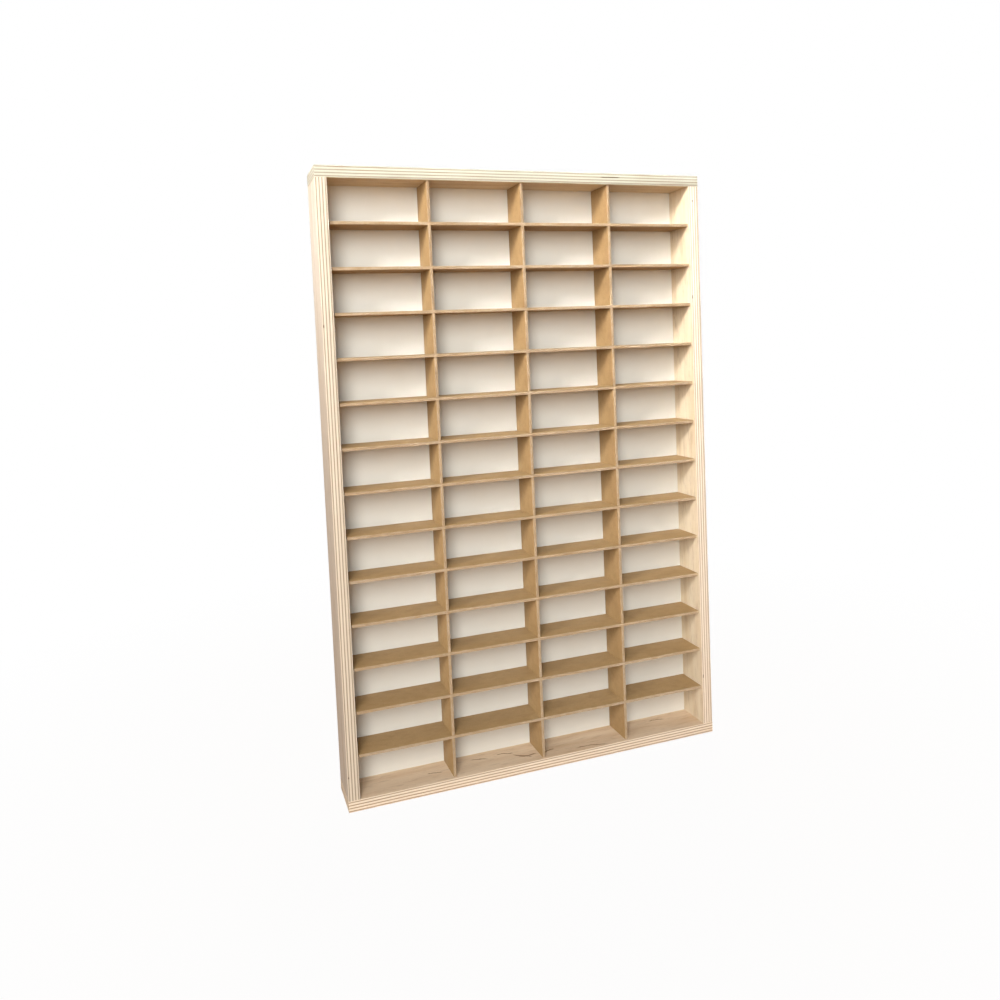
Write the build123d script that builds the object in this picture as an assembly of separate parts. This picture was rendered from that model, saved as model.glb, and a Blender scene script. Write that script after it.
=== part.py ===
from build123d import *
import os

# Open-fronted display case for small toy cars: a plywood frame round an
# interlocking lattice of thin shelves and dividers, closed by a back panel.
# Millimetres. Origin at the middle of the underside, front towards -Y, +Z up.

# Cells
columns = 4
rows = 14
cell_width = 94.6
cell_height = 40.0

# Sheet goods
frame_thickness = 11.5
lattice_thickness = 3.0
back_thickness = 3.0

# Depths, measured from the front edge of the frame
case_depth = 50.0
lattice_set_back = 3.0
back_face_depth = 40.5

# Clearances of the fitted pieces
lattice_gap_left = 1.5
lattice_gap_right = 0.1
lattice_gap_top = 0.2
lattice_gap_behind = 0.1
notch_clearance = 0.2
notch_end_clearance = 0.1
groove_clearance = 0.15
groove_depth = 4.0
back_edge_clearance = 0.5

# Nails of the corner joints, driven through the top and the bottom board
nail_shank = 1.4
nail_head = 2.6
nail_head_thickness = 0.8
nail_length = 30.0
nail_depths = (11.0, 31.0)
nail_hole_clearance = 0.05

# Outer edges of the frame are eased with abrasive paper after assembly
eased_edge = 0.5

# How far a notch cutter stands out of its board, and how near two edges count as in line
cutter_overrun = 1.0
in_line = 0.01

# Worked out from the values above
pitch = cell_height + lattice_thickness
shelf_length = columns * cell_width + (columns - 1) * lattice_thickness
inside_width = lattice_gap_left + shelf_length + lattice_gap_right
inside_height = rows * pitch - lattice_thickness
width = inside_width + 2 * frame_thickness
height = inside_height + 2 * frame_thickness

front = -case_depth / 2
rear = case_depth / 2
floor_level = frame_thickness
ceiling_level = frame_thickness + inside_height
left_face = -inside_width / 2
right_face = inside_width / 2

lattice_front = front + lattice_set_back
back_front = front + back_face_depth
back_rear = back_front + back_thickness
lattice_rear = back_front - lattice_gap_behind
lattice_depth = lattice_rear - lattice_front
lattice_left = left_face + lattice_gap_left
notch_depth = lattice_depth / 2


def block(x0, x1, y0, y1, z0, z1):
    """A plain block between two corners."""
    return Pos((x0 + x1) / 2, (y0 + y1) / 2, (z0 + z1) / 2) * Box(x1 - x0, y1 - y0, z1 - z0)


def shelf_underside(number):
    """Height of a shelf's underside, shelves counted from the top."""
    return floor_level + (rows - number) * pitch - lattice_thickness


def divider_left(number):
    """Left face of a divider, dividers counted from the left."""
    return lattice_left + number * cell_width + (number - 1) * lattice_thickness


def edges_at(solid, along, **where):
    """Edges that run along one axis and lie at the given places on the other two."""
    found = solid.edges().filter_by(along)
    for name, value in where.items():
        found = found.filter_by(lambda edge: abs(getattr(edge.center(), name) - value) < in_line)
    return found


# Places of the nails: two at each end of the top and of the bottom board
nail_x = inside_width / 2 + frame_thickness / 2
nail_places = [(side * nail_x, front + depth) for side in (-1, 1) for depth in nail_depths]


def nail(x, y, seat, direction):
    """One nail, its head flush at the height seat, its point in the given direction along Z."""
    head = Cylinder(nail_head / 2, nail_head_thickness, align=(Align.CENTER, Align.CENTER, Align.MIN))
    shank_length = nail_length - nail_head_thickness
    shank = Pos(0, 0, nail_head_thickness) * Cylinder(
        nail_shank / 2, shank_length, align=(Align.CENTER, Align.CENTER, Align.MIN)
    )
    turn = 0 if direction > 0 else 180
    return Pos(x, y, seat) * Rot(turn, 0, 0) * (head + shank)


def nail_hole(x, y, seat, direction):
    """The hole that a nail fills, a little wider than the nail."""
    head_room = nail_head_thickness + nail_hole_clearance
    head = Cylinder(
        nail_head / 2 + nail_hole_clearance, head_room, align=(Align.CENTER, Align.CENTER, Align.MIN)
    )
    shank = Cylinder(
        nail_shank / 2 + nail_hole_clearance,
        nail_length + nail_hole_clearance,
        align=(Align.CENTER, Align.CENTER, Align.MIN),
    )
    turn = 0 if direction > 0 else 180
    return Pos(x, y, seat) * Rot(turn, 0, 0) * (head + shank)


# Groove that takes the back panel's edges, cut in all four boards
groove = block(
    left_face - groove_depth,
    right_face + groove_depth,
    back_front - groove_clearance,
    back_rear + groove_clearance,
    floor_level - groove_depth,
    ceiling_level + groove_depth,
)

top_holes = [nail_hole(x, y, height, -1) for x, y in nail_places]
bottom_holes = [nail_hole(x, y, 0, 1) for x, y in nail_places]


def frame_top():
    """Top board, full width, lying on the ends of the side boards."""
    board = block(-width / 2, width / 2, front, rear, ceiling_level, height)
    outer = edges_at(board, Axis.X, Z=height)
    ends = edges_at(board, Axis.Y, Z=height)
    board = chamfer(outer + ends, eased_edge)
    board = board - groove
    for hole in top_holes:
        board = board - hole
    return board


def frame_bottom():
    """Bottom board, full width, the side boards stand on it."""
    board = block(-width / 2, width / 2, front, rear, 0, floor_level)
    outer = edges_at(board, Axis.X, Z=0)
    ends = edges_at(board, Axis.Y, Z=0)
    board = chamfer(outer + ends, eased_edge)
    board = board - groove
    for hole in bottom_holes:
        board = board - hole
    return board


def frame_side(side):
    """Side board between the top and the bottom, side -1 at the left and 1 at the right."""
    inner = side * inside_width / 2
    outer = side * width / 2
    board = block(min(inner, outer), max(inner, outer), front, rear, floor_level, ceiling_level)
    board = chamfer(edges_at(board, Axis.Z, X=outer), eased_edge)
    board = board - groove
    for hole in top_holes + bottom_holes:
        board = board - hole
    return board


def back_panel():
    """White-faced panel, its edges held in the groove."""
    reach = groove_depth - back_edge_clearance
    return block(
        left_face - reach,
        right_face + reach,
        back_front,
        back_rear,
        floor_level - reach,
        ceiling_level + reach,
    )


def divider(number):
    """Upright of the lattice, notched from the front to take each shelf."""
    left = divider_left(number)
    right = left + lattice_thickness
    board = block(left, right, lattice_front, lattice_rear, floor_level, ceiling_level - lattice_gap_top)
    for shelf_number in range(1, rows):
        seat = shelf_underside(shelf_number)
        board = board - block(
            left - cutter_overrun,
            right + cutter_overrun,
            lattice_front - cutter_overrun,
            lattice_front + notch_depth,
            seat,
            seat + lattice_thickness + notch_clearance,
        )
    return board


def shelf(number):
    """Long shelf, notched from the rear to pass over each divider."""
    seat = shelf_underside(number)
    board = block(
        lattice_left, lattice_left + shelf_length, lattice_front, lattice_rear, seat, seat + lattice_thickness
    )
    for divider_number in range(1, columns):
        left = divider_left(divider_number)
        board = board - block(
            left - notch_clearance / 2,
            left + lattice_thickness + notch_clearance / 2,
            lattice_front + notch_depth - notch_end_clearance,
            lattice_rear + cutter_overrun,
            seat - cutter_overrun,
            seat + lattice_thickness + cutter_overrun,
        )
    return board


def corner_nails():
    """Eight nails alike, each a solid of its own."""
    upper = [nail(x, y, height, -1) for x, y in nail_places]
    lower = [nail(x, y, 0, 1) for x, y in nail_places]
    return Compound(children=upper + lower)


nodes = {
    "frame_bottom": frame_bottom(),
    "frame_left": frame_side(-1),
    "frame_right": frame_side(1),
    "frame_top": frame_top(),
    "back_panel": back_panel(),
    "corner_nails": corner_nails(),
}
for number in range(1, columns):
    nodes[f"divider_{number}"] = divider(number)
for number in range(1, rows):
    nodes[f"shelf_{number:02d}"] = shelf(number)

os.makedirs("parts", exist_ok=True)
for name, solid in nodes.items():
    export_step(solid, f"parts/{name}.step")
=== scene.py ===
import math

import bmesh
import bpy
from mathutils import Matrix, Vector


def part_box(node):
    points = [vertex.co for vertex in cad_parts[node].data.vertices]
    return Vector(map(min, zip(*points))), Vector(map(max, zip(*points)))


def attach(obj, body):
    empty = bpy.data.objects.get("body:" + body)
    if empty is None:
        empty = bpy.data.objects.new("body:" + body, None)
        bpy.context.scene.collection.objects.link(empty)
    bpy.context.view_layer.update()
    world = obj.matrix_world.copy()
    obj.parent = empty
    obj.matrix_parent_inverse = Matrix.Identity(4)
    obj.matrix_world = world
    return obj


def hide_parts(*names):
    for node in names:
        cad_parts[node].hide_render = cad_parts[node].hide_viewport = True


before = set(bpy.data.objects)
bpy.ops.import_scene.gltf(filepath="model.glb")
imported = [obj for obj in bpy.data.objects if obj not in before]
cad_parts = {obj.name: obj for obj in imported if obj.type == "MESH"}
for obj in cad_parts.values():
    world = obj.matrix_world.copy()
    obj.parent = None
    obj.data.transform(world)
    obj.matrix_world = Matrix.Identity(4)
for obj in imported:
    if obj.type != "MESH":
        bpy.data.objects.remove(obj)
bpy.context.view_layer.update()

# The frame is four boards of nine-ply birch plywood, 11.5 mm thick, sawn to 50 mm
# wide. The top and the bottom lie over the ends of the two sides, glued and nailed.
# All four are grooved for the back, and their outer corners are eased with paper.
ACROSS, DEEP, UPRIGHT = 0, 1, 2

left_low, left_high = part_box("frame_left")
case_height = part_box("frame_top")[1].z
back_low, back_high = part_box("back_panel")

outer_easing = 0.0006
inner_easing = 0.0002
groove_side_room = 0.00015
groove_end_room = 0.0005
nail_across = (left_low.x + left_high.x) / 2
nail_deep = (-0.014, 0.006)
nail_shank = 0.0007
nail_head = 0.0013
nail_head_height = 0.0008
nail_length = 0.030
nail_room = 0.00005
drill_overrun = 0.001

# Two faces meet in a corner above the first angle and are shaded as one below the second.
# A face looks along an axis when that part of its normal is above the last value.
corner_angle = 1.2
crease_angle = 0.7
squarely = 0.9


def mesh_piece(name, form, finishes, stands_for):
    """Makes a piece from its form, rides it on the case and puts it in place of a CAD node."""
    sheet = bpy.data.meshes.new(name)
    form.to_mesh(sheet)
    form.free()
    piece = bpy.data.objects.new(name, sheet)
    bpy.context.scene.collection.objects.link(piece)
    for finish in finishes:
        sheet.materials.append(finish)
    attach(piece, "root")
    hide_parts(stands_for)


def block(low, high):
    """A plain block between two corners."""
    form = bmesh.new()
    bmesh.ops.create_cube(form, size=1.0)
    bmesh.ops.scale(form, vec=high - low, verts=form.verts)
    bmesh.ops.translate(form, vec=(high + low) / 2, verts=form.verts)
    return form


def round_over(form, edges, radius, steps=3):
    """Rounds the given edges with abrasive paper."""
    bmesh.ops.bevel(
        form, geom=list(edges), offset=radius, offset_type="OFFSET", segments=steps,
        profile=0.5, affect="EDGES", clamp_overlap=True,
    )


def shade_smooth(form, crease=crease_angle):
    """Shades the faces as one, except across an edge sharper than the crease."""
    for face in form.faces:
        face.smooth = True
    for edge in form.edges:
        edge.smooth = len(edge.link_faces) == 2 and edge.calc_face_angle(0) < crease


def turned(profile, steps=32):
    """A closed form turned round Z from (radius, height) points, its two ends on the axis."""
    form = bmesh.new()
    rings = []
    for radius, height in profile:
        if radius == 0:
            rings.append([form.verts.new((0, 0, height))])
            continue
        rings.append([
            form.verts.new((
                radius * math.cos(2 * math.pi * turn / steps),
                radius * math.sin(2 * math.pi * turn / steps),
                height,
            ))
            for turn in range(steps)
        ])
    for lower, upper in zip(rings, rings[1:]):
        for turn in range(steps):
            corners = [
                lower[turn % len(lower)], lower[(turn + 1) % len(lower)],
                upper[(turn + 1) % len(upper)], upper[turn % len(upper)],
            ]
            form.faces.new(list(dict.fromkeys(corners)))
    bmesh.ops.recalc_face_normals(form, faces=form.faces)
    return form


def add_form(whole, part, place):
    """Adds a copy of one bmesh to another."""
    spare = bpy.data.meshes.new("spare")
    part.to_mesh(spare)
    spare.transform(place)
    whole.from_mesh(spare)
    bpy.data.meshes.remove(spare)


def nail_places():
    """Where each nail stands, its head flush with the top or the bottom of the case."""
    for side in (-1, 1):
        for deep in nail_deep:
            across = side * abs(nail_across)
            yield Matrix.Translation((across, deep, 0))
            yield Matrix.Translation((across, deep, case_height)) @ Matrix.Rotation(math.pi, 4, "X")


def cut_away(form, cutter):
    """Cuts one form out of another."""
    solids = []
    for part, name in ((form, "stock"), (cutter, "cutter")):
        sheet = bpy.data.meshes.new(name)
        part.to_mesh(sheet)
        part.free()
        solid = bpy.data.objects.new(name, sheet)
        bpy.context.scene.collection.objects.link(solid)
        solids.append(solid)
    stock, tool = solids
    cut = stock.modifiers.new("cut", "BOOLEAN")
    cut.operation = "DIFFERENCE"
    cut.solver = "EXACT"
    cut.object = tool
    graph = bpy.context.evaluated_depsgraph_get()
    result = bpy.data.meshes.new_from_object(stock.evaluated_get(graph))
    form = bmesh.new()
    form.from_mesh(result)
    for solid in solids:
        sheet = solid.data
        bpy.data.objects.remove(solid)
        bpy.data.meshes.remove(sheet)
    bpy.data.meshes.remove(result)
    return form


def sawn_board(low, high, along, through, outside):
    """One board of the frame: rounded over, grooved and drilled. Its faces take
    finish 0 on the veneer, 1 on the long edges and 2 on the sawn ends."""
    form = block(low, high)
    outer = [e for e in form.edges if all(abs(v.co[through] - outside) < 1e-6 for v in e.verts)]
    round_over(form, outer, outer_easing)
    sharp = [e for e in form.edges if e.calc_face_angle(0) > corner_angle]
    round_over(form, sharp, inner_easing, 2)

    groove_room = Vector((groove_end_room, groove_side_room, groove_end_room))
    cutter = block(back_low - groove_room, back_high + groove_room)
    hole = turned([
        (0, -drill_overrun),
        (nail_head + nail_room, -drill_overrun),
        (nail_head + nail_room, nail_head_height + nail_room),
        (nail_shank + nail_room, nail_head_height + nail_room),
        (nail_shank + nail_room, nail_length + nail_room),
        (0, nail_length + nail_room),
    ])
    for place in nail_places():
        add_form(cutter, hole, place)
    hole.free()
    form = cut_away(form, cutter)
    for face in form.faces:
        facing = [abs(part) for part in face.normal]
        face.material_index = 0 if facing[through] > squarely else 2 if facing[along] > squarely else 1
    shade_smooth(form)
    return form


def step(finish, kind, settings=None, **feeds):
    """Adds one node to a finish or to the studio. Feeds are values or other nodes' sockets,
    named as the node's own sockets with _ for spaces, or as _0, _1 by place."""
    node = finish.node_tree.nodes.new("ShaderNode" + kind)
    for name, value in (settings or {}).items():
        setattr(node, name, value)
    for name, value in feeds.items():
        key = int(name[1:]) if name[0] == "_" else name.replace("_", " ")
        socket = node.inputs[key]
        if isinstance(value, bpy.types.NodeSocket):
            finish.node_tree.links.new(value, socket)
        else:
            socket.default_value = value
    return node


def sums(finish, operation, *feeds):
    """One piece of arithmetic in a finish."""
    by_place = {f"_{place}": feed for place, feed in enumerate(feeds)}
    return step(finish, "Math", {"operation": operation}, **by_place).outputs[0]


def blend(finish, share, first, second, way="MIX"):
    """Lays the second colour over the first by the given share."""
    node = step(finish, "Mix", {"data_type": "RGBA", "blend_type": way}, _0=share, _6=first, _7=second)
    return node.outputs[2]


def ramp(finish, share, *stops):
    """Grades one value through (place, level) stops, as grey."""
    node = step(finish, "ValToRGB", Fac=share)
    band = node.color_ramp
    while len(band.elements) > 1:
        band.elements.remove(band.elements[-1])
    for index, (place, level) in enumerate(stops):
        element = band.elements[0] if index == 0 else band.elements.new(place)
        element.position = place
        element.color = (level, level, level, 1)
    return node.outputs[0]


def new_finish(name):
    """An empty finish and its surface shader."""
    finish = bpy.data.materials.new(name)
    finish.use_nodes = True
    finish.node_tree.nodes.clear()
    surface = step(finish, "BsdfPrincipled")
    step(finish, "OutputMaterial", Surface=surface.outputs[0])
    return finish, surface


def dress(finish, surface, colour, relief, strength, depth, **gloss):
    """Gives a surface its colour, its relief, whose depth is in metres, and its gloss, which
    is named as the shader's own sockets with _ for spaces."""
    finish.node_tree.links.new(colour, surface.inputs["Base Color"])
    bump = step(finish, "Bump", Strength=strength, Distance=depth, Height=relief)
    finish.node_tree.links.new(bump.outputs[0], surface.inputs["Normal"])
    for name, value in gloss.items():
        surface.inputs[name.replace("_", " ")].default_value = value


def tint(red, green, blue):
    """A colour given as it looks on screen, 0 to 255, as the linear values the shader takes."""
    values = []
    for level in (red, green, blue):
        level /= 255
        values.append(level / 12.92 if level <= 0.04045 else ((level + 0.055) / 1.055) ** 2.4)
    return (*values, 1)


def places_of(finish):
    """The point on the piece, as its three lengths across, deep and upright."""
    place = step(finish, "TexCoord").outputs["Object"]
    return step(finish, "SeparateXYZ", _0=place).outputs


def wood_places(finish, along, through):
    """The point on the wood as separate lengths: along the grain, across it and through the board."""
    parts = places_of(finish)
    across = 3 - along - through
    return parts[along], parts[across], parts[through]


def mottle(finish, lengths, sizes, detail=3.0, roughness=0.5, shift=0.0):
    """Noise with its own size along each of three directions, in metres."""
    scaled = [sums(finish, "MULTIPLY", length, 1 / size) for length, size in zip(lengths, sizes)]
    scaled[0] = sums(finish, "ADD", scaled[0], shift)
    place = step(finish, "CombineXYZ", _0=scaled[0], _1=scaled[1], _2=scaled[2]).outputs[0]
    node = step(finish, "TexNoise", Vector=place, Scale=1.0, Detail=detail, Roughness=roughness)
    return node.outputs["Fac"]


veneer_streak = tint(136, 98, 64)
# Painted shade, multiplied over the lower part of a veneer so that the left board darkens towards its
# foot
lower_painted_shade = tint(226, 222, 218)
glue_line = tint(158, 130, 100)
# Painted shade for the dark inside of a gap in a core ply; no slot is cut
gap_painted_shade = tint(96, 74, 54)
ply_thickness = 0.00145

# How far a streak and the border of the painted shade wander, in metres, and a ply, in plies
streak_waver = 0.0036
shade_border_waver = 0.1
ply_waver = 0.4


def streak(finish, places, colour, first, last, bow, breadth):
    """A mineral streak in the veneer: a dark hair line from one point to another, bowed between."""
    half = (last[0] - first[0]) / 2
    climb = (last[1] - first[1]) / 2
    run = sums(finish, "DIVIDE", sums(finish, "SUBTRACT", places[0], first[0] + half), half)
    bowed = sums(finish, "MULTIPLY_ADD", sums(finish, "MULTIPLY", run, run), -bow, bow)
    waver = mottle(finish, places, (0.005, 0.006, 0.01), 3.0, 0.6)
    line = sums(finish, "MULTIPLY_ADD", run, climb, first[1] + climb)
    line = sums(finish, "ADD", line, bowed)
    wander = sums(finish, "MULTIPLY_ADD", waver, streak_waver, -streak_waver / 2)
    line = sums(finish, "ADD", line, wander)
    off = sums(finish, "ABSOLUTE", sums(finish, "SUBTRACT", places[1], line))
    share = ramp(finish, sums(finish, "DIVIDE", off, breadth), (0.3, 0.9), (1.0, 0.0))
    ends = ramp(finish, sums(finish, "ABSOLUTE", run), (0.7, 1.0), (1.0, 0.0))
    return blend(finish, sums(finish, "MULTIPLY", share, ends), colour, veneer_streak)


def veneer_finish(name, along, through, light, deep, shift, streaks, shade_span):
    """The face of the plywood: pale birch, peeled veneer with a soft long figure. Below the first
    length of the shade span the veneer is darkened by a painted shade, which fades out by the second."""
    finish, surface = new_finish(name)
    places = wood_places(finish, along, through)
    figure = mottle(finish, places, (0.16, 0.012, 0.05), 4.0, 0.55, shift)
    fine = mottle(finish, places, (0.012, 0.0006, 0.01), 2.0, 0.5, shift)
    cloud = mottle(finish, places, (0.25, 0.05, 0.08), 2.0, 0.5, shift + 7)
    flecks = mottle(finish, places, (0.016, 0.0026, 0.01), 3.0, 0.6, shift + 5)
    colour = blend(finish, ramp(finish, figure, (0.34, 0.0), (0.5, 0.35), (0.68, 1.0)), light, deep)
    colour = blend(finish, ramp(finish, fine, (0.45, 0.0), (0.75, 0.22)), colour, deep)
    colour = blend(finish, ramp(finish, flecks, (0.52, 0.0), (0.74, 0.3)), colour, veneer_streak)

    bands = mottle(finish, places, (0.09, 0.006, 0.02), 1.0, 0.4, shift + 3)
    line = sums(finish, "ABSOLUTE", sums(finish, "SUBTRACT", bands, 0.5))
    thin = ramp(finish, line, (0.0, 1.0), (0.012, 0.0))
    rare = ramp(finish, cloud, (0.56, 0.0), (0.66, 0.45))
    colour = blend(finish, sums(finish, "MULTIPLY", thin, rare), colour, veneer_streak)

    pores = mottle(finish, places, (0.004, 0.00022, 0.004), 1.0, 0.5, shift)
    pore = ramp(finish, pores, (0.66, 0.0), (0.74, 0.22))
    colour = blend(finish, pore, colour, veneer_streak)
    for first, last, bow, breadth in streaks:
        colour = streak(finish, places, colour, first, last, bow, breadth)
    # Painted shade: the veneer is darkened below the span's first length, fading out by its second
    if shade_span:
        border = sums(finish, "MULTIPLY_ADD", figure, shade_border_waver, -shade_border_waver / 2)
        border = sums(finish, "ADD", places[0], border)
        share = ramp(finish, border, (shade_span[0], 1.0), (shade_span[1], 0.0))
        colour = blend(finish, share, colour, lower_painted_shade, "MULTIPLY")

    pressed_in = sums(finish, "MULTIPLY", pore, -1.0)
    relief = sums(finish, "ADD", sums(finish, "MULTIPLY", fine, 0.6), pressed_in)
    dress(
        finish, surface, colour, relief, 0.25, 0.0001,
        Roughness=0.6, Diffuse_Roughness=0.4, Specular_IOR_Level=0.2,
    )
    return finish


def plies_finish(name, along, through, middle, long_grain, pale, tan, shift, gaps=()):
    """The edge of the plywood: nine plies, long grain and end grain by turns. A gap is a short
    slot in a core ply, not cut but painted dark as its shade: its middle along the board, its ply
    counted from the middle, its length."""
    finish, surface = new_finish(name)
    places = wood_places(finish, along, through)
    waver = mottle(finish, places, (0.06, 0.02, 0.5), 2.0, 0.5, shift)
    bent = sums(finish, "MULTIPLY", sums(finish, "SUBTRACT", waver, 0.5), ply_waver)
    level = sums(finish, "DIVIDE", sums(finish, "SUBTRACT", places[2], middle), ply_thickness)
    level = sums(finish, "ADD", level, bent)
    turn = sums(finish, "COSINE", sums(finish, "MULTIPLY", level, math.pi))
    dark_share = ramp(finish, sums(finish, "MULTIPLY_ADD", turn, 0.5, 0.5), (0.16, 1.0), (0.38, 0.0))
    glue = ramp(finish, sums(finish, "ABSOLUTE", turn), (0.0, 0.25), (0.24, 0.0))
    if not long_grain:
        dark_share = sums(finish, "SUBTRACT", 1.0, dark_share)

    streaks = mottle(finish, places, (0.03, 0.004, 0.0004), 3.0, 0.6, shift)
    specks = mottle(finish, places, (0.0006, 0.004, 0.0005), 2.0, 0.6, shift)
    stretch = mottle(finish, places, (0.035, 0.01, 0.0012), 2.0, 0.5, shift + 9)
    light = blend(finish, ramp(finish, streaks, (0.35, 0.0), (0.75, 0.3)), pale, tan)
    dark = blend(finish, ramp(finish, specks, (0.35, 0.0), (0.72, 0.35)), tan, glue_line)
    dark = blend(finish, ramp(finish, stretch, (0.52, 0.0), (0.72, 0.6)), dark, glue_line)
    colour = blend(finish, dark_share, light, dark)
    colour = blend(finish, glue, colour, glue_line)
    # Each gap is painted shade, a dark dash where the slot's hollow would be
    for gap_middle, ply, gap_length in gaps:
        off = sums(finish, "ABSOLUTE", sums(finish, "SUBTRACT", places[0], gap_middle))
        lengthwise = ramp(finish, sums(finish, "DIVIDE", off, gap_length), (0.35, 1.0), (0.5, 0.0))
        off = sums(finish, "ABSOLUTE", sums(finish, "SUBTRACT", level, ply))
        share = sums(finish, "MULTIPLY", lengthwise, ramp(finish, off, (0.3, 0.85), (0.5, 0.0)))
        colour = blend(finish, share, colour, gap_painted_shade)

    sunk = sums(finish, "MULTIPLY", dark_share, specks)
    relief = sums(finish, "SUBTRACT", sums(finish, "MULTIPLY", streaks, 0.5), sunk)
    dress(
        finish, surface, colour, relief, 0.4, 0.00015,
        Roughness=0.75, Diffuse_Roughness=0.6, Specular_IOR_Level=0.12,
    )
    return finish


def frame_board(name, along, through, outward, veneer, plies, shift, streaks=(), shade_span=None, gaps=()):
    """One board of the frame. Its outer face is at the low or the high end of the through axis,
    veneer and plies are each a paler and a darker tone, and shift is where in the sheet it was cut."""
    low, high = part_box(name)
    outside = high[through] if outward > 0 else low[through]
    middle = (low[through] + high[through]) / 2
    finishes = (
        veneer_finish(name + "_veneer", along, through, *veneer, shift, streaks, shade_span),
        plies_finish(name + "_long_edge", along, through, middle, True, *plies, shift, gaps),
        plies_finish(name + "_sawn_end", DEEP, through, middle, False, *plies, shift + 5),
    )
    form = sawn_board(low, high, along, through, outside)
    mesh_piece(name + "_board", form, finishes, name)


# Streaks of the bottom board, each as its first and last point, across and deep, its bow and breadth
bottom_streaks = (
    ((-0.044, 0.003), (-0.026, -0.001), 0.002, 0.0012),
    ((-0.028, -0.003), (-0.003, -0.010), -0.004, 0.0013),
    ((-0.024, -0.010), (-0.010, -0.015), 0.001, 0.0009),
    ((0.004, -0.013), (0.018, -0.009), 0.001, 0.0011),
    ((0.038, -0.018), (0.076, -0.024), 0.003, 0.0010),
    ((0.140, 0.006), (0.162, 0.003), 0.001, 0.0009),
    ((-0.072, 0.004), (-0.054, -0.001), 0.001, 0.0009),
    ((-0.122, -0.005), (-0.106, -0.008), 0.001, 0.0009),
)
frame_board(
    "frame_bottom", ACROSS, UPRIGHT, outward=-1,
    veneer=(tint(229, 206, 176), tint(212, 182, 147)),
    plies=(tint(252, 241, 221), tint(192, 168, 140)),
    shift=0.0, streaks=bottom_streaks,
)
# The left board's veneer is set darker than the others and grows darker still towards its foot: both
# are painted shade of the left side, which gets less light lower down
frame_board(
    "frame_left", UPRIGHT, ACROSS, outward=-1,
    veneer=(tint(218, 206, 190), tint(204, 185, 162)),
    plies=(tint(236, 227, 209), tint(181, 165, 144)),
    shift=11.0, shade_span=(0.33, 0.55), gaps=((0.472, -3, 0.003), (0.035, -3, 0.002)),
)
frame_board(
    "frame_right", UPRIGHT, ACROSS, outward=1,
    veneer=(tint(228, 213, 186), tint(212, 190, 156)),
    plies=(tint(247, 238, 222), tint(201, 181, 156)),
    shift=23.0, gaps=((0.595, -1, 0.002), (0.491, -3, 0.004), (0.066, -3, 0.004)),
)
frame_board(
    "frame_top", ACROSS, UPRIGHT, outward=1,
    veneer=(tint(228, 213, 186), tint(212, 190, 156)),
    plies=(tint(213, 214, 198), tint(171, 163, 146)),
    shift=37.0, gaps=((0.100, 1, 0.024),),
)

# The back is 3 mm hardboard, white lacquered on the front, its edges in the
# groove of the frame. The rear is bare and bears the weave of the press screen.
white_face = tint(237, 234, 223)
white_shade = tint(231, 227, 214)
bare_rear = tint(142, 110, 78)
rear_fibre = tint(108, 80, 54)
screen_pitch = 0.0016

finish, surface = new_finish("white_back")
parts = places_of(finish)
inward = step(finish, "SeparateXYZ", _0=step(finish, "TexCoord").outputs["Normal"]).outputs[1]
is_front = sums(finish, "LESS_THAN", inward, -0.5)
roller = mottle(finish, parts, (0.03, 0.03, 0.05), 3.0)
peel = mottle(finish, parts, (0.0012, 0.001, 0.0012), 1.0)
fibres = mottle(finish, parts, (0.003, 0.002, 0.0009), 3.0, 0.6)
front_colour = blend(finish, ramp(finish, roller, (0.3, 0.0), (0.7, 0.5)), white_face, white_shade)
rear_colour = blend(finish, ramp(finish, fibres, (0.35, 0.0), (0.7, 0.8)), bare_rear, rear_fibre)
weave = sums(
    finish, "MULTIPLY",
    sums(finish, "SINE", sums(finish, "MULTIPLY", parts[0], 2 * math.pi / screen_pitch)),
    sums(finish, "SINE", sums(finish, "MULTIPLY", parts[2], 2 * math.pi / screen_pitch)),
)
orange_peel = sums(finish, "MULTIPLY", peel, 0.25)
relief = step(finish, "Mix", {"data_type": "FLOAT"}, _0=is_front, _2=weave, _3=orange_peel).outputs[0]
dress(
    finish, surface, blend(finish, is_front, rear_colour, front_colour), relief, 0.3, 0.0001,
    Roughness=0.5, Specular_IOR_Level=0.15,
)
back_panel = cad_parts["back_panel"]
back_panel.data.materials.clear()
back_panel.data.materials.append(finish)

# The dividers and shelves are an egg-crate lattice of 3 mm fibreboard. Each divider is
# notched half-way from the front, each shelf half-way from the rear, and they slide
# together dry. The cut edges are paler and rougher than the pressed faces.
lattice_easing = 0.0002
notch_room = 0.0002
notch_end_room = 0.0001

fibre_face = tint(175, 144, 101)
fibre_deep = tint(148, 117, 75)
fibre_edge = tint(196, 178, 152)
bark_fleck = tint(128, 92, 56)


def fibreboard_finish(name, base, deep, relief, **gloss):
    """Bare fibreboard in two tones, its pressed face or its cut edge."""
    finish, surface = new_finish(name)
    parts = places_of(finish)
    cloud = mottle(finish, parts, (0.04, 0.04, 0.04), 3.0)
    smudge = mottle(finish, parts, (0.011, 0.007, 0.007), 2.0, 0.5, 4.0)
    fibres = mottle(finish, parts, (0.0016, 0.0012, 0.0012), 4.0, 0.65)
    flecks = mottle(finish, parts, (0.0005, 0.0004, 0.0004), 2.0, 0.5)
    colour = blend(finish, ramp(finish, cloud, (0.3, 0.0), (0.7, 0.4)), base, deep)
    colour = blend(finish, ramp(finish, smudge, (0.45, 0.0), (0.72, 0.45)), colour, deep)
    colour = blend(finish, ramp(finish, fibres, (0.4, 0.0), (0.75, 0.5)), colour, deep)
    colour = blend(finish, ramp(finish, flecks, (0.62, 0.0), (0.78, 0.5)), colour, bark_fleck)
    dress(finish, surface, colour, fibres, relief, 0.0001, Specular_IOR_Level=0.15, **gloss)
    return finish


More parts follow.
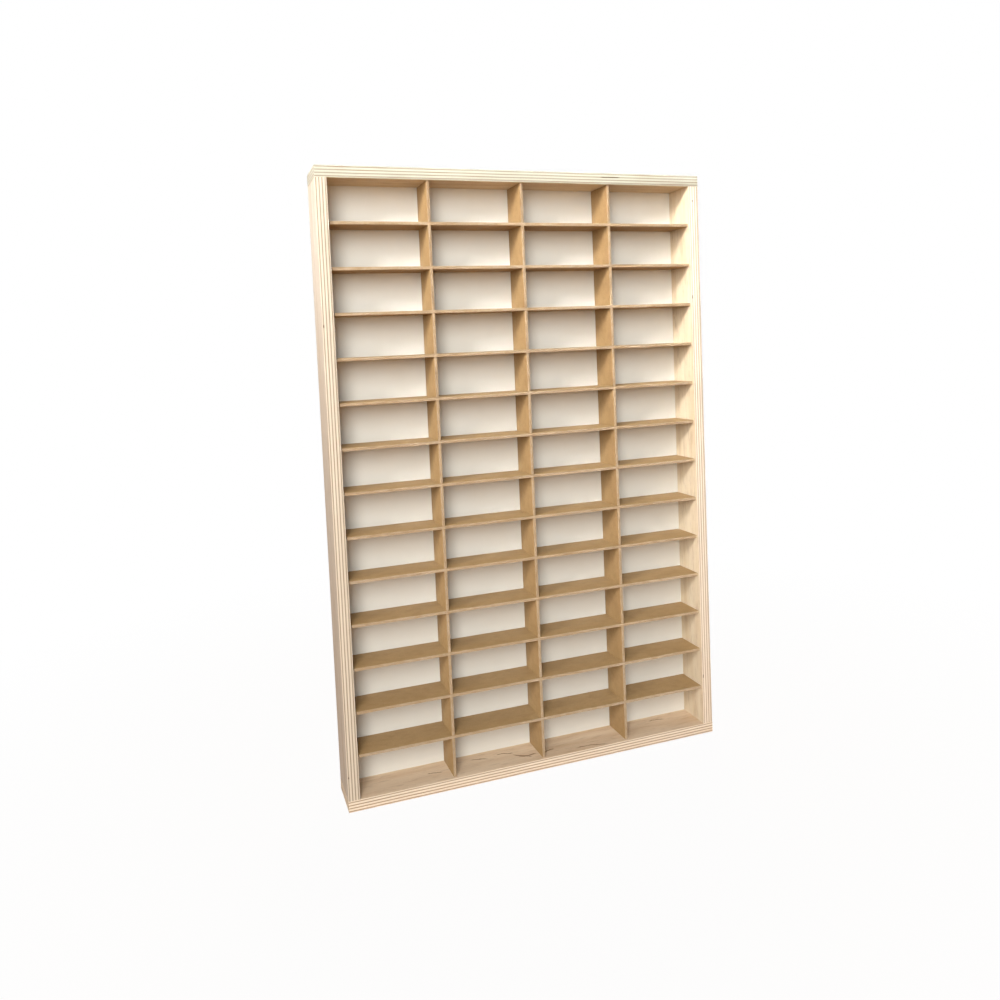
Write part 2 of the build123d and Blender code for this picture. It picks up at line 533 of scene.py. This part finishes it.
fibreboard = (
    fibreboard_finish(
        "fibreboard_face", fibre_face, fibre_deep, 0.15,
        Roughness=0.6, Diffuse_Roughness=0.7,
    ),
    fibreboard_finish(
        "fibreboard_cut_edge", fibre_edge, fibre_face, 0.5,
        Roughness=0.85, Diffuse_Roughness=0.9,
    ),
)


def lattice_board(outline, through, low, high):
    """A thin board from its outline in the plane square to the through axis, all edges eased."""
    form = bmesh.new()
    first_axis, second_axis = [axis for axis in (ACROSS, DEEP, UPRIGHT) if axis != through]
    corners = []
    for first, second in outline:
        corner = [0.0, 0.0, 0.0]
        corner[first_axis], corner[second_axis], corner[through] = first, second, low
        corners.append(form.verts.new(corner))
    face = form.faces.new(corners)
    grown = bmesh.ops.extrude_face_region(form, geom=[face])
    rise = Vector((0, 0, 0))
    rise[through] = high - low
    raised = [part for part in grown["geom"] if isinstance(part, bmesh.types.BMVert)]
    bmesh.ops.translate(form, vec=rise, verts=raised)
    bmesh.ops.recalc_face_normals(form, faces=form.faces)
    round_over(form, form.edges, lattice_easing, 2)
    for face in form.faces:
        face.material_index = 0 if abs(face.normal[through]) > squarely else 1
    shade_smooth(form)
    return form


dividers = sorted(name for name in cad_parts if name.startswith("divider_"))
shelves = sorted(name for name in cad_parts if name.startswith("shelf_"))

for name in dividers:
    low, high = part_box(name)
    half_way = (low.y + high.y) / 2
    outline = [(low.y, low.z)]
    for shelf in reversed(shelves):
        seat_low, seat_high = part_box(shelf)
        outline += [
            (low.y, seat_low.z), (half_way, seat_low.z),
            (half_way, seat_high.z + notch_room), (low.y, seat_high.z + notch_room),
        ]
    outline += [(low.y, high.z), (high.y, high.z), (high.y, low.z)]
    form = lattice_board(outline, ACROSS, low.x, high.x)
    mesh_piece(name + "_board", form, fibreboard, name)

for name in shelves:
    low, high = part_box(name)
    half_way = (low.y + high.y) / 2 - notch_end_room
    outline = [(low.x, low.y), (high.x, low.y), (high.x, high.y)]
    for divider in reversed(dividers):
        near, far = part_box(divider)
        outline += [
            (far.x + notch_room / 2, high.y), (far.x + notch_room / 2, half_way),
            (near.x - notch_room / 2, half_way), (near.x - notch_room / 2, high.y),
        ]
    outline.append((low.x, high.y))
    form = lattice_board(outline, UPRIGHT, low.z, high.z)
    mesh_piece(name + "_board", form, fibreboard, name)

# Eight bright steel wire nails hold the corners, two through each end of the top
# and of the bottom board into the ends of the sides, their heads driven flush.
bright_wire = tint(196, 197, 198)
dull_wire = tint(150, 146, 140)
nail_crease = 0.9

finish, surface = new_finish("nail_wire")
parts = places_of(finish)
drawn = mottle(finish, parts, (0.0002, 0.0002, 0.004), 2.0)
dull = mottle(finish, parts, (0.0008, 0.0008, 0.0008), 3.0)
colour = blend(finish, ramp(finish, dull, (0.35, 0.0), (0.7, 0.7)), bright_wire, dull_wire)
dress(finish, surface, colour, drawn, 0.3, 0.00005, Metallic=1.0)
finish.node_tree.links.new(ramp(finish, dull, (0.3, 0.28), (0.7, 0.48)), surface.inputs["Roughness"])

nail = turned([
    (0, 0.0),
    (nail_head * 0.84, 0.0),
    (nail_head * 0.96, nail_head_height * 0.12),
    (nail_head, nail_head_height * 0.35),
    (nail_head * 0.97, nail_head_height * 0.7),
    (nail_shank * 1.05, nail_head_height),
    (nail_shank, nail_head_height * 1.4),
    (nail_shank, nail_length - 0.0026),
    (nail_shank * 0.55, nail_length - 0.0010),
    (0, nail_length),
])
nails = bmesh.new()
for place in nail_places():
    add_form(nails, nail, place)
nail.free()
bmesh.ops.recalc_face_normals(nails, faces=nails.faces)
shade_smooth(nails, nail_crease)
mesh_piece("corner_nails_wire", nails, (finish,), "corner_nails")

# The case stands on a plain floor that runs on without an edge. It is a warm pale
# brown, which throws warm light up under the shelves, but seen by the camera or in a
# reflection it is nearly all white, and keeps a faint soft shadow.
floor_reach = 30.0
white = (1, 1, 1, 1)


def seen_share(finish):
    """1 for what the camera sees, straight, in a reflection or through glass, and 0 for light."""
    path = step(finish, "LightPath").outputs
    seen = sums(finish, "MAXIMUM", path["Is Camera Ray"], path["Is Glossy Ray"])
    return sums(finish, "MAXIMUM", seen, path["Is Transmission Ray"])


floor_form = bmesh.new()
bmesh.ops.create_grid(floor_form, x_segments=1, y_segments=1, size=floor_reach)
floor_mesh = bpy.data.meshes.new("floor")
floor_form.to_mesh(floor_mesh)
floor_form.free()
floor = bpy.data.objects.new("floor", floor_mesh)
bpy.context.scene.collection.objects.link(floor)

finish, surface = new_finish("white_floor")
surface.inputs["Base Color"].default_value = tint(230, 180, 128)
surface.inputs["Roughness"].default_value = 0.9
surface.inputs["Specular IOR Level"].default_value = 0.0
glow = step(finish, "Emission", Color=white, Strength=1.0)
place = step(finish, "TexCoord").outputs["Object"]
far = step(finish, "VectorMath", {"operation": "LENGTH"}, _0=place).outputs["Value"]

# Within half a metre or so a little of the floor's own tone is left, and the shadow shows in it
own_white = ramp(finish, sums(finish, "MULTIPLY", far, 0.5), (0.15, 0.97), (0.45, 1.0))
share = sums(finish, "MULTIPLY", seen_share(finish), own_white)
shown = surface.outputs[0].links[0].to_socket
lit = step(finish, "MixShader", Fac=share, _1=surface.outputs[0], _2=glow.outputs[0])
finish.node_tree.links.new(lit.outputs[0], shown)
floor_mesh.materials.append(finish)

# Round the floor there is nothing but white. Only the camera and reflections see it in
# full, and it hardly lights the case.
studio = bpy.data.worlds.new("studio")
bpy.context.scene.world = studio
studio.use_nodes = True
studio.node_tree.nodes.clear()
strength = step(studio, "Mix", {"data_type": "FLOAT"}, _0=seen_share(studio), _2=0.01, _3=1.0)
background = step(studio, "Background", Color=white, Strength=strength.outputs[0])
step(studio, "OutputWorld", Surface=background.outputs[0])


# The key is a broad soft lamp in front, to the left and a little above the case. One far
# out to the left is narrowed and aimed over the top, so that the sides grow darker
# downwards, a weak one lifts the bottom boards, and one behind lights the back.
def soft_lamp(name, place, target, width, height, power, spread=180):
    """A soft box of a size in metres and a power in watts, turned towards a point. A small
    spread, in degrees, narrows its beam."""
    light = bpy.data.lights.new(name, "AREA")
    light.shape = "RECTANGLE"
    light.size = width
    light.size_y = height
    light.energy = power
    light.spread = math.radians(spread)
    lamp = bpy.data.objects.new(name, light)
    bpy.context.scene.collection.objects.link(lamp)
    lamp.location = place
    lamp.rotation_mode = "QUATERNION"
    lamp.rotation_quaternion = (Vector(target) - Vector(place)).to_track_quat("-Z", "Y")


soft_lamp("key", (-0.83, -1.88, 1.12), (0, 0, 0.33), width=1.0, height=1.3, power=41.0)
soft_lamp("side", (-2.26, -1.41, 1.94), (0, 0, 0.95), width=0.7, height=0.8, power=4.9, spread=26)
soft_lamp("low", (-0.6, -1.45, 0.25), (0, 0, 0), width=0.5, height=0.5, power=0.3, spread=60)
soft_lamp("rear", (1.1, 1.9, 1.3), (0.1, 0, 0.3), width=1.2, height=1.2, power=40.0)

# The camera stands a little above the middle of the case and to the left, close
# enough that the sides run together downwards.
view = bpy.data.cameras.new("view")
view.sensor_width = 36.0
view.lens = 30.158
view.shift_y = -0.10484
camera = bpy.data.objects.new("camera", view)
camera.location = (-0.31353, -0.82249, 0.44868)
camera.rotation_euler = [math.radians(angle) for angle in (86.5, 2.432, -19.566)]
bpy.context.scene.collection.objects.link(camera)
bpy.context.scene.camera = camera
bpy.context.scene.view_settings.view_transform = "Standard"
